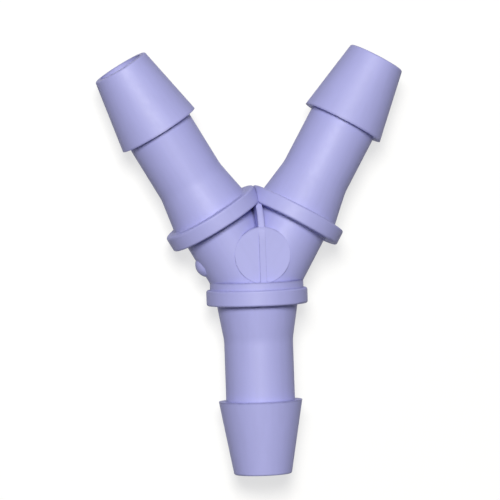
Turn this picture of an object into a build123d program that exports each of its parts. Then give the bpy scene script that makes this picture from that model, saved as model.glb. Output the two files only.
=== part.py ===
"""Y connector for flexible tubing: one moulded body with a stem, two branches and a barb on each.

The stem's mouth is centred on the origin and the stem runs along +Y to the hub. The branches leave
the hub at equal angles in the XY plane, and +Z is square to the plane of the Y.
"""
from build123d import *
from math import cos, radians, sin
import os

# ---- driving dimensions, in millimetres and degrees ----

branch_angle = 30.0  # each branch's centre line, off the line of the stem

# end form, the same on all three arms
bore_radius = 3.25
neck_wall = 1.65
neck_length = 8.7
barb_step = 1.05  # crest of the barb, proud of the neck
barb_length = 10.5
tip_wall = 0.85
flare_step = 0.85  # foot of the flare, proud of the neck
flare_length = 5.0
collar_lip = 1.45  # collar, proud of the foot of the flare
collar_thickness = 2.25

# hub
branch_reach = 10.7  # from the meeting point of the centre lines to a branch's collar
limb_wall = 2.05  # round limbs between the meeting point and the branch collars
shoulder_step = 0.55  # the stem collar's rim, proud of the short round shoulder on it
shoulder_height = 1.05
pad_radius = 4.0  # flat round pad on the front and on the back of the hub
pad_rise = 4.95  # from the meeting point towards the crotch
pad_lift = 0.02  # pad's face, proud of the limbs
web_thickness = 0.9  # rib midway between the branches, front and back
web_lift = 0.15  # rib's edge, proud of the pads
web_crown = 3.4  # half the rib's width where it meets the branch collars
web_run = 7.0  # from the meeting point, before the rib's edge drops towards the crotch
gusset_thickness = 2.0  # plate in the plane of the Y that closes the corner under the branch collars

# domed gate boss on the outside of one limb
gate_radius = 1.8
gate_lift = 0.65  # proud of the limb
gate_reach = 6.7  # from the meeting point, along the branch

# rounded edges
rim_round = 0.3  # rims of the collars
root_round = 0.2  # inside corners beside the collars
flare_round = 6.0  # flare running into the neck
tip_round = 0.3  # outer edge of each mouth

# ---- sizes and places that follow from them ----

neck_radius = bore_radius + neck_wall
barb_radius = neck_radius + barb_step
tip_radius = bore_radius + tip_wall
flare_radius = neck_radius + flare_step
collar_radius = flare_radius + collar_lip
limb_radius = bore_radius + limb_wall
shoulder_radius = collar_radius - shoulder_step
pad_height = limb_radius + pad_lift
web_height = pad_height + web_lift

flare_start = collar_thickness
neck_start = flare_start + flare_length
barb_start = neck_start + neck_length
end_length = barb_start + barb_length  # from a collar's hub side to the mouth

hub = Vector(0, end_length, 0)  # the centre lines meet in the hub side of the stem's collar
crotch = branch_reach / cos(radians(branch_angle))  # meeting point to the branch collars' mitre


def arm_plane(turn, reach=0.0):
    """Plane square to an arm that leaves the hub at this turn from +Y, this far out along it.

    Its own X lies in the plane of the Y, where the two halves of the mould would part.
    """
    outward = Vector(sin(radians(turn)), cos(radians(turn)), 0)
    across = Vector(outward.Y, -outward.X, 0)
    return Plane(origin=hub + outward * reach, x_dir=across, z_dir=outward)


def rounded(section, corner, radius):
    """The section with its corner at the given place rounded."""
    vertex = section.vertices().sort_by_distance(Vector(*corner))[0]
    return fillet(vertex, radius)


def turned(section):
    """Solid turned about +Z from a section drawn as radius, height."""
    return revolve(Plane.XZ * section, Axis.Z)


def end_form():
    """Collar, flare, neck and barb about +Z, with the collar's hub side on the XY plane."""
    rim = (collar_radius, 0)
    top_rim = (collar_radius, flare_start)
    foot = (flare_radius, flare_start)
    bend = (neck_radius, neck_start)
    step = (neck_radius, barb_start)
    crest = (barb_radius, barb_start)
    lip = (tip_radius, end_length)
    outline = Polyline((0, 0), rim, top_rim, foot, bend, step, crest, lip, (0, end_length), close=True)
    section = make_face(outline)
    section = rounded(section, rim, rim_round)
    section = rounded(section, top_rim, rim_round)
    section = rounded(section, foot, root_round)
    section = rounded(section, bend, flare_round)
    section = rounded(section, lip, tip_round)
    return turned(section)


def limb():
    """Round limb of the hub about +Z, swept out at its far end to meet a collar."""
    sweep_start = (limb_radius, branch_reach - root_round)
    sweep_end = (limb_radius + root_round, branch_reach)
    outline = Polyline(sweep_start, (limb_radius, 0), (0, 0), (0, branch_reach), sweep_end)
    outline += RadiusArc(sweep_end, sweep_start, root_round)
    return turned(make_face(outline))


def web():
    """Rib in the plane midway between the branches, from the shoulder up into the collars' mitre."""
    shoulder = (0, 0)
    edge_start = (0, web_height)
    bend = (web_run, web_height)
    crown = (crotch, web_crown)
    buried = (crotch + collar_thickness / 2, 0)
    outline = Line(shoulder, edge_start) + Line(edge_start, bend)
    outline += TangentArc(bend, crown, tangent=(1, 0))
    outline += Line(crown, buried) + Line(buried, shoulder)
    midway = Plane(origin=hub, x_dir=(0, 1, 0), z_dir=(1, 0, 0))
    front = extrude(midway * make_face(outline), web_thickness / 2, both=True)
    return front + mirror(front, Plane.XY)


def gusset():
    """Plate between the branches' centre lines, up into the branch collars."""
    far = branch_reach + collar_thickness / 2
    left = arm_plane(-branch_angle, far).origin
    right = arm_plane(branch_angle, far).origin
    top = hub + Vector(0, far / cos(radians(branch_angle)), 0)
    outline = Polyline(hub, left, top, right, close=True)
    return extrude(make_face(outline), gusset_thickness / 2, both=True)


def hub_form():
    """Limbs, shoulder, pads, gusset, rib and gate boss."""
    form = arm_plane(-branch_angle) * limb()
    form += arm_plane(branch_angle) * limb()
    grounded = (Align.CENTER, Align.CENTER, Align.MIN)
    shoulder = Cylinder(shoulder_radius, shoulder_height, align=grounded)
    form += arm_plane(0) * shoulder
    form += Pos(hub + Vector(0, pad_rise, 0)) * Cylinder(pad_radius, 2 * pad_height)
    form += gusset()
    form += web()
    outside = limb_radius + gate_lift - gate_radius
    return form + arm_plane(-branch_angle, gate_reach) * Pos(-outside, 0, 0) * Sphere(gate_radius)


def bore(reach):
    """Flow bore about +Z, from the meeting point out to a mouth this far along the arm."""
    return Cylinder(bore_radius, reach, align=(Align.CENTER, Align.CENTER, Align.MIN))


body = hub_form()
body += arm_plane(180) * end_form()
body += arm_plane(-branch_angle, branch_reach) * end_form()
body += arm_plane(branch_angle, branch_reach) * end_form()

body -= arm_plane(180) * bore(end_length)
body -= arm_plane(-branch_angle) * bore(branch_reach + end_length)
body -= arm_plane(branch_angle) * bore(branch_reach + end_length)

os.makedirs("parts", exist_ok=True)
export_step(body, "parts/y_connector.step")
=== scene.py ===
"""Looks of a barbed Y connector for flexible tubing, and the plain stage that it lies on.

The connector's stem runs along +Y from the origin and the floor is square to +Z. Lengths are in metres,
except the fixed values of the finish, the lens and the sensor, which are in millimetres.
"""

from math import radians

import bmesh
import bpy
from bpy.props import FloatProperty, FloatVectorProperty, PointerProperty
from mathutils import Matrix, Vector


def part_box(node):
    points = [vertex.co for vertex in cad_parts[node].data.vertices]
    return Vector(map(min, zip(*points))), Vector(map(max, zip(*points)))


bl_info = {
    "name": "Tubing Y Connector",
    "version": (1, 0, 0),
    "blender": (4, 5, 0),
    "location": "3D View > Sidebar > Y Connector",
    "description": "Moulded plastic finish, floor, lamps and camera for a barbed Y connector",
    "category": "Material",
}

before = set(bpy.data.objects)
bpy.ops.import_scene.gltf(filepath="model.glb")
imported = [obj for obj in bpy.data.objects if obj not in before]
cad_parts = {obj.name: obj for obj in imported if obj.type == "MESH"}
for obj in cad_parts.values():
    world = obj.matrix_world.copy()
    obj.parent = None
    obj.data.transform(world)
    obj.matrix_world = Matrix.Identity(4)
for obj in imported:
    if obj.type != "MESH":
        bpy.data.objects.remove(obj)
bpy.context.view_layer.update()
floor_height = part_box("y_connector")[0][2]

MILLIMETRE = 0.001
HUB = Vector((0.0, 26.45, 0.0)) * MILLIMETRE  # where the arms' centre lines meet
BRANCH_ANGLE = radians(30.0)  # each branch, off the line of the stem


# ---- settings ----

class PlasticSettings(bpy.types.PropertyGroup):
    """Finish of the moulded plastic."""

    colour: FloatVectorProperty(
        name="Colour", description="Plain colour of the moulded plastic",
        default=(0.375, 0.382, 0.72), size=3, min=0.0, max=1.0, subtype="COLOR")
    # painted shade: a deeper colour laid along rims, edges and creases
    edge_shade_colour: FloatVectorProperty(
        name="Edge Colour", description="Deeper colour along rims, edges and creases",
        default=(0.165, 0.165, 0.385), size=3, min=0.0, max=1.0, subtype="COLOR")
    roughness: FloatProperty(
        name="Roughness", description="Satin of the moulded faces",
        default=0.54, min=0.0, max=1.0, subtype="FACTOR")
    grain_size: FloatProperty(
        name="Grain Size", description="Width of the mould's fine spark-eroded grain",
        default=0.12 * MILLIMETRE, min=0.0, unit="LENGTH", precision=5)
    grain_depth: FloatProperty(
        name="Grain Depth", description="Depth of that grain",
        default=0.006 * MILLIMETRE, min=0.0, unit="LENGTH", precision=6)
    # reach of the painted shade in from an edge or a crease
    edge_width: FloatProperty(
        name="Edge Width", description="How far in from an edge or a crease the deeper colour reaches",
        default=0.5 * MILLIMETRE, min=0.0, unit="LENGTH", precision=5)
    parting_width: FloatProperty(
        name="Parting Width", description="Half the width of the mould's parting line",
        default=0.09 * MILLIMETRE, min=0.0, unit="LENGTH", precision=5)
    parting_height: FloatProperty(
        name="Parting Height", description="How far the parting line stands up",
        default=0.02 * MILLIMETRE, min=0.0, unit="LENGTH", precision=6)


class StageSettings(bpy.types.PropertyGroup):
    """Floor, lamps and camera."""

    floor_colour: FloatVectorProperty(
        name="Floor Colour", description="Matt part of the pale floor, which shows the shadow",
        default=(0.3, 0.3, 0.3), size=3, min=0.0, max=1.0, subtype="COLOR")
    bounce_colour: FloatVectorProperty(
        name="Bounce Colour", description="Colour of the floor for the light that it throws back up",
        default=(0.12, 0.123, 0.15), size=3, min=0.0, max=1.0, subtype="COLOR")
    floor_size: FloatProperty(
        name="Floor Size", description="Side of the square floor",
        default=6.0, min=0.1, unit="LENGTH")
    fill: FloatVectorProperty(
        name="Fill", description="Even, slightly cool light from all round",
        default=(0.05, 0.052, 0.07), size=3, min=0.0, max=1.0, subtype="COLOR")
    key_power: FloatProperty(
        name="Key Power", description="Power of the soft lamp beside the camera",
        default=15.9, min=0.0, unit="POWER")
    key_colour: FloatVectorProperty(
        name="Key Colour", description="Slightly warm white of the soft lamp",
        default=(1.0, 0.985, 0.93), size=3, min=0.0, max=1.0, subtype="COLOR")
    camera_distance: FloatProperty(
        name="Camera Distance", description="From the hub to the camera",
        default=0.8535, min=0.1, unit="LENGTH")
    camera_lens: FloatProperty(
        name="Camera Lens", description="Focal length in millimetres",
        default=432.0, min=1.0)


# ---- fixed values of the finish, lengths in millimetres ----

CLOUDS_PER_MILLIMETRE = 0.16
# noise that makes the painted edge shade patchy and the faces' roughness vary
SCUFF_AND_SHADE_PATCHES_PER_MILLIMETRE = 1.3
STREAK_SIZE = (0.9, 14.0, 0.9)  # across, along and through an arm
HUB_BLEND = (-1.0, 6.0)  # from the hub along +Y, where the stem's streaks give way to the branches'
MIDDLE_BLEND = (-1.0, 1.0)  # across the middle, where the left branch's streaks give way to the right's
MOTTLE_SPAN = (0.7, 1.3)  # clouds and streaks together, from the deeper colour to the plain one
SHADE_PATCH_SPAN = (0.35, 0.65)  # the noise, over which the painted shade at edges and creases grows stronger
SATIN_SPAN = (0.3, 0.7)  # the same noise, over which the faces grow rougher
DEEP_SHARE = 0.95  # the deeper patches, as a share of the plain colour
RIM_SPAN = (0.74, 0.42)  # occlusion inside an edge, from none of the painted edge shade to all of it
CREASE_SPAN = (0.65, 0.38)  # the same for the painted shade on the open side of a crease
SHADE_AND_WEAR_SPAN = (0.55, 0.85)  # how strong the painted edge shade and the polish are, from patch to patch
ROUGHNESS_SWING = 0.04
WEAR_POLISH = -0.08  # change of roughness where the painted edge shade is full
OCCLUSION_SAMPLES = 8
PLASTIC_IOR = 1.48
PLASTIC_SPECULAR = 0.55

# ---- camera and lamp ----

CAMERA_OUTWARD = Vector((-0.18853, 0.04885, 0.98085))  # from the hub to the camera
CAMERA_UP = Vector((0.04349, 0.9982, -0.04135))
CAMERA_AIM = Vector((-0.70, 31.95, -0.41)) * MILLIMETRE
SENSOR_WIDTH = 36.0  # millimetres
KEY_PLACE = (-0.216, 0.39, 1.116)  # up beside the camera, past the branches' side
KEY_AIM = (0.0, 0.030, 0.0)
KEY_SIDE = 0.35  # side of the square lamp


# ---- node helpers ----

WHITE = (1.0, 1.0, 1.0)
NODE_STEP = (220, -260)  # across and down the node editor, from one place to the next


def add_node(tree, kind, place, **values):
    """Adds a node and sets the sockets and fields that are named; spaces in names are underscores."""
    node = tree.nodes.new(kind)
    node.location = (NODE_STEP[0] * place[0], NODE_STEP[1] * place[1])
    for name, value in values.items():
        socket = node.inputs.get(name.replace("_", " "))
        if socket is not None:
            socket.default_value = value
        else:
            setattr(node, name, value)
    return node


def colour4(colour):
    """Colour with its alpha, as a colour socket takes it."""
    return (*colour, 1.0)


def add_mix(tree, place, factor, first, second):
    """Colour mix node; factor is a socket, first and second are sockets or colours."""
    node = add_node(tree, "ShaderNodeMix", place, data_type="RGBA")
    tree.links.new(factor, node.inputs[0])
    for socket, value in ((node.inputs[6], first), (node.inputs[7], second)):
        if isinstance(value, bpy.types.NodeSocket):
            tree.links.new(value, socket)
        else:
            socket.default_value = colour4(value)
    return node.outputs[2]


def add_range(tree, place, value, from_range, to_range):
    """Map Range node from one span of values to another."""
    node = add_node(tree, "ShaderNodeMapRange", place,
                    From_Min=from_range[0], From_Max=from_range[1],
                    To_Min=to_range[0], To_Max=to_range[1])
    tree.links.new(value, node.inputs["Value"])
    return node.outputs["Result"]


def add_math(tree, place, operation, first, second):
    """Math node; first is a socket, second is a socket or a number."""
    node = add_node(tree, "ShaderNodeMath", place, operation=operation)
    tree.links.new(first, node.inputs[0])
    if isinstance(second, bpy.types.NodeSocket):
        tree.links.new(second, node.inputs[1])
    else:
        node.inputs[1].default_value = second
    return node.outputs[0]


def white_for_view(tree, place):
    """One for rays from the camera, a reflection or a glass, and nought for other light."""
    path = add_node(tree, "ShaderNodeLightPath", place)
    seen = add_math(tree, (place[0] + 1, place[1]), "MAXIMUM",
                    path.outputs["Is Camera Ray"], path.outputs["Is Glossy Ray"])
    return add_math(tree, (place[0] + 2, place[1]), "MAXIMUM",
                    seen, path.outputs["Is Transmission Ray"])


def clear_tree(owner):
    """Empties the node tree of a material or a world and returns it."""
    owner.use_nodes = True
    owner.node_tree.nodes.clear()
    return owner.node_tree


# ---- materials ----

def flow_marks(tree, row, position, turn):
    """Faint streaks along an arm that is turned this far about +Z from +Y.

    A Texture mapping turns the place back before it scales it, so the streaks follow the arm.
    """
    along = add_node(tree, "ShaderNodeMapping", (2, row), vector_type="TEXTURE",
                     Rotation=(0.0, 0.0, turn), Scale=STREAK_SIZE)
    tree.links.new(position, along.inputs["Vector"])
    streaks = add_node(tree, "ShaderNodeTexNoise", (3, row), Scale=1.0, Detail=2.0, Roughness=0.5)
    tree.links.new(along.outputs["Vector"], streaks.inputs["Vector"])
    return streaks.outputs["Fac"]


def add_choice(tree, place, factor, first, second):
    """First value where the factor is nought and second where it is one; all three are sockets."""
    node = add_node(tree, "ShaderNodeMix", place, data_type="FLOAT")
    for socket, value in zip((node.inputs[0], node.inputs[2], node.inputs[3]), (factor, first, second)):
        tree.links.new(value, socket)
    return node.outputs[0]


def all_flow_marks(tree, row, position):
    """Each arm's own streaks, chosen by which arm the place is on, and the place's height."""
    axes = add_node(tree, "ShaderNodeSeparateXYZ", (2, row))
    tree.links.new(position, axes.inputs["Vector"])
    stem = flow_marks(tree, row + 1, position, 0.0)
    left = flow_marks(tree, row + 2, position, BRANCH_ANGLE)
    right = flow_marks(tree, row + 3, position, -BRANCH_ANGLE)
    past_hub = tuple(HUB.y / MILLIMETRE + reach for reach in HUB_BLEND)
    on_right = add_range(tree, (4, row + 3), axes.outputs["X"], MIDDLE_BLEND, (0.0, 1.0))
    on_branches = add_range(tree, (4, row + 1), axes.outputs["Y"], past_hub, (0.0, 1.0))
    branches = add_choice(tree, (5, row + 2), on_right, left, right)
    return add_choice(tree, (6, row + 1), on_branches, stem, branches), axes.outputs["Z"]


def edge_mask(tree, row, width, inside, from_range):
    """Mask of the painted shade: one at an edge, or at a crease where inside is False, down to nought by
    this width from it.
    """
    near = add_node(tree, "ShaderNodeAmbientOcclusion", (2, row), Distance=width,
                    inside=inside, only_local=True, samples=OCCLUSION_SAMPLES)
    return add_range(tree, (3, row), near.outputs["AO"], from_range, (0.0, 1.0))


def moulded_plastic(settings):
    """Satin lavender plastic: mould grain, faint clouds and flow marks, a parting line, and painted shade
    along edges and in creases.
    """
    material = bpy.data.materials.new("moulded_plastic")
    tree = clear_tree(material)
    links = tree.links

    coordinates = add_node(tree, "ShaderNodeTexCoord", (0, 0))
    in_millimetres = add_node(tree, "ShaderNodeMapping", (1, 0), Scale=(1 / MILLIMETRE,) * 3)
    links.new(coordinates.outputs["Object"], in_millimetres.inputs["Vector"])
    position = in_millimetres.outputs["Vector"]

    clouds = add_node(tree, "ShaderNodeTexNoise", (2, 0), Scale=CLOUDS_PER_MILLIMETRE,
                      Detail=3.0, Roughness=0.5)
    links.new(position, clouds.inputs["Vector"])
    streaks, height = all_flow_marks(tree, 5, position)
    mottle = add_math(tree, (3, 0), "ADD", clouds.outputs["Fac"], streaks)
    shade = add_range(tree, (4, 0), mottle, MOTTLE_SPAN, (0.0, 1.0))
    deep = tuple(DEEP_SHARE * part for part in settings.colour)
    body = add_mix(tree, (5, 0), shade, deep, tuple(settings.colour))

    # painted shade: a deeper colour along convex edges and in concave creases, made patchy by noise; the
    # same mask lowers the roughness as polish
    rims = edge_mask(tree, 1, settings.edge_width, True, RIM_SPAN)
    creases = edge_mask(tree, 2, settings.edge_width, False, CREASE_SPAN)
    edges = add_math(tree, (4, 1), "MAXIMUM", rims, creases)
    scuff_and_shade_patches = add_node(tree, "ShaderNodeTexNoise", (2, 3), Scale=SCUFF_AND_SHADE_PATCHES_PER_MILLIMETRE,
                      Detail=4.0, Roughness=0.6)
    links.new(position, scuff_and_shade_patches.inputs["Vector"])
    patchy = add_range(tree, (3, 3), scuff_and_shade_patches.outputs["Fac"], SHADE_PATCH_SPAN, SHADE_AND_WEAR_SPAN)
    shade_and_wear = add_math(tree, (5, 1), "MULTIPLY", edges, patchy)
    coloured = add_mix(tree, (6, 0), shade_and_wear, body, tuple(settings.edge_shade_colour))

    satin = add_range(tree, (4, 3), scuff_and_shade_patches.outputs["Fac"], SATIN_SPAN,
                      (settings.roughness - ROUGHNESS_SWING, settings.roughness + ROUGHNESS_SWING))
    polish = add_math(tree, (5, 3), "MULTIPLY", shade_and_wear, WEAR_POLISH)
    roughness = add_math(tree, (6, 3), "ADD", satin, polish)

    off_parting = add_math(tree, (3, 4), "ABSOLUTE", height, 0.0)
    ridge = add_range(tree, (4, 4), off_parting, (0.0, settings.parting_width / MILLIMETRE), (1.0, 0.0))
    parting = add_node(tree, "ShaderNodeBump", (5, 4), Strength=1.0, Distance=settings.parting_height)
    links.new(ridge, parting.inputs["Height"])
    grain = add_node(tree, "ShaderNodeTexNoise", (2, 4), Scale=MILLIMETRE / settings.grain_size,
                     Detail=2.0, Roughness=0.55)
    links.new(position, grain.inputs["Vector"])
    fine = add_node(tree, "ShaderNodeBump", (6, 4), Strength=1.0, Distance=settings.grain_depth)
    links.new(grain.outputs["Fac"], fine.inputs["Height"])
    links.new(parting.outputs["Normal"], fine.inputs["Normal"])

    plastic = add_node(tree, "ShaderNodeBsdfPrincipled", (8, 0), IOR=PLASTIC_IOR,
                       Specular_IOR_Level=PLASTIC_SPECULAR)
    links.new(coloured, plastic.inputs["Base Color"])
    links.new(roughness, plastic.inputs["Roughness"])
    links.new(fine.outputs["Normal"], plastic.inputs["Normal"])
    output = add_node(tree, "ShaderNodeOutputMaterial", (9, 0))
    links.new(plastic.outputs["BSDF"], output.inputs["Surface"])
    return material


def pale_floor(settings):
    """Matt floor that looks white where the light falls on it and keeps the connector's shadow."""
    material = bpy.data.materials.new("pale_floor")
    tree = clear_tree(material)
    matt = add_node(tree, "ShaderNodeBsdfPrincipled", (4, 0), Roughness=1.0, Specular_IOR_Level=0.0)
    seen = white_for_view(tree, (0, 1))
    colour = add_mix(tree, (3, 0), seen, tuple(settings.bounce_colour), tuple(settings.floor_colour))
    tree.links.new(colour, matt.inputs["Base Color"])
    glow = add_math(tree, (3, 1), "MULTIPLY", seen, 1.0 - settings.floor_colour[0])
    matt.inputs["Emission Color"].default_value = colour4(WHITE)
    tree.links.new(glow, matt.inputs["Emission Strength"])
    output = add_node(tree, "ShaderNodeOutputMaterial", (5, 0))
    tree.links.new(matt.outputs["BSDF"], output.inputs["Surface"])
    return material


# ---- stage ----

def add_floor(settings):
    """Square floor under the connector."""
    shape = bmesh.new()
    bmesh.ops.create_grid(shape, x_segments=1, y_segments=1, size=settings.floor_size / 2)
    bmesh.ops.translate(shape, verts=shape.verts, vec=(0, 0, floor_height))
    mesh = bpy.data.meshes.new("floor")
    shape.to_mesh(mesh)
    shape.free()
    mesh.materials.append(pale_floor(settings))
    floor = bpy.data.objects.new("floor", mesh)
    bpy.context.scene.collection.objects.link(floor)


def add_surroundings(settings):
    """Even light from all round, from walls that look white."""
    world = bpy.data.worlds.new("surroundings")
    bpy.context.scene.world = world
    tree = clear_tree(world)
    colour = add_mix(tree, (3, 0), white_for_view(tree, (0, 0)), tuple(settings.fill), WHITE)
    background = add_node(tree, "ShaderNodeBackground", (4, 0))
    tree.links.new(colour, background.inputs["Color"])
    output = add_node(tree, "ShaderNodeOutputWorld", (5, 0))
    tree.links.new(background.outputs["Background"], output.inputs["Surface"])


def add_lamp(name, place, aim, side, power, colour):
    """Square soft lamp that faces a point."""
    data = bpy.data.lights.new(name, "AREA")
    data.shape = "SQUARE"
    data.size = side
    data.energy = power
    data.color = colour
    lamp = bpy.data.objects.new(name, data)
    lamp.location = place
    lamp.rotation_euler = (Vector(aim) - Vector(place)).to_track_quat("-Z", "Y").to_euler()
    bpy.context.scene.collection.objects.link(lamp)


def add_camera(settings):
    """Camera above the connector, leaning to the left branch's side, with the branches up in the picture."""
    place = HUB + CAMERA_OUTWARD * settings.camera_distance
    back = (place - CAMERA_AIM).normalized()
    right = CAMERA_UP.cross(back).normalized()
    data = bpy.data.cameras.new("camera")
    data.sensor_width = SENSOR_WIDTH
    data.lens = settings.camera_lens
    camera = bpy.data.objects.new("camera", data)
    turn = camera.matrix_world.copy()
    for row in range(3):
        turn[row][0] = right[row]
        turn[row][1] = back.cross(right)[row]
        turn[row][2] = back[row]
        turn[row][3] = place[row]
    camera.matrix_world = turn
    bpy.context.scene.collection.objects.link(camera)
    bpy.context.scene.camera = camera


# ---- operators ----

class CONNECTOR_OT_finish_body(bpy.types.Operator):
    """Give the moulded connector its satin plastic."""

    bl_idname = "connector.finish_body"
    bl_label = "Finish Connector"

    def execute(self, context):
        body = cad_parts["y_connector"]
        if not body.material_slots:
            raise RuntimeError("the connector has no material slot")
        plastic = moulded_plastic(context.scene.connector_plastic)
        for slot in body.material_slots:
            slot.material = plastic
        return {"FINISHED"}


class CONNECTOR_OT_set_stage(bpy.types.Operator):
    """Lay the floor, hang the lamps and place the camera."""

    bl_idname = "connector.set_stage"
    bl_label = "Set Stage"

    def execute(self, context):
        settings = context.scene.connector_stage
        add_floor(settings)
        add_surroundings(settings)
        add_lamp("key", KEY_PLACE, KEY_AIM, KEY_SIDE, settings.key_power, settings.key_colour)
        add_camera(settings)
        context.scene.view_settings.view_transform = "Standard"
        return {"FINISHED"}


class CONNECTOR_PT_sidebar(bpy.types.Panel):
    """Steps and settings of the connector's looks."""

    bl_idname = "CONNECTOR_PT_sidebar"
    bl_label = "Tubing Y Connector"
    bl_space_type = "VIEW_3D"
    bl_region_type = "UI"
    bl_category = "Y Connector"

    def draw(self, context):
        layout = self.layout
        for name, step in (("connector_plastic", CONNECTOR_OT_finish_body),
                           ("connector_stage", CONNECTOR_OT_set_stage)):
            settings = getattr(context.scene, name)
            column = layout.column()
            for key in settings.__annotations__:
                column.prop(settings, key)
            column.operator(step.bl_idname)


CLASSES = (
    PlasticSettings,
    StageSettings,
    CONNECTOR_OT_finish_body,
    CONNECTOR_OT_set_stage,
    CONNECTOR_PT_sidebar,
)


def register():
    for item in CLASSES:
        bpy.utils.register_class(item)
    bpy.types.Scene.connector_plastic = PointerProperty(type=PlasticSettings)
    bpy.types.Scene.connector_stage = PointerProperty(type=StageSettings)


def unregister():
    del bpy.types.Scene.connector_stage
    del bpy.types.Scene.connector_plastic
    for item in reversed(CLASSES):
        bpy.utils.unregister_class(item)


def main():
    register()
    bpy.ops.connector.finish_body()
    bpy.ops.connector.set_stage()
    bpy.context.view_layer.update()


if __name__ == "__main__":
    main()
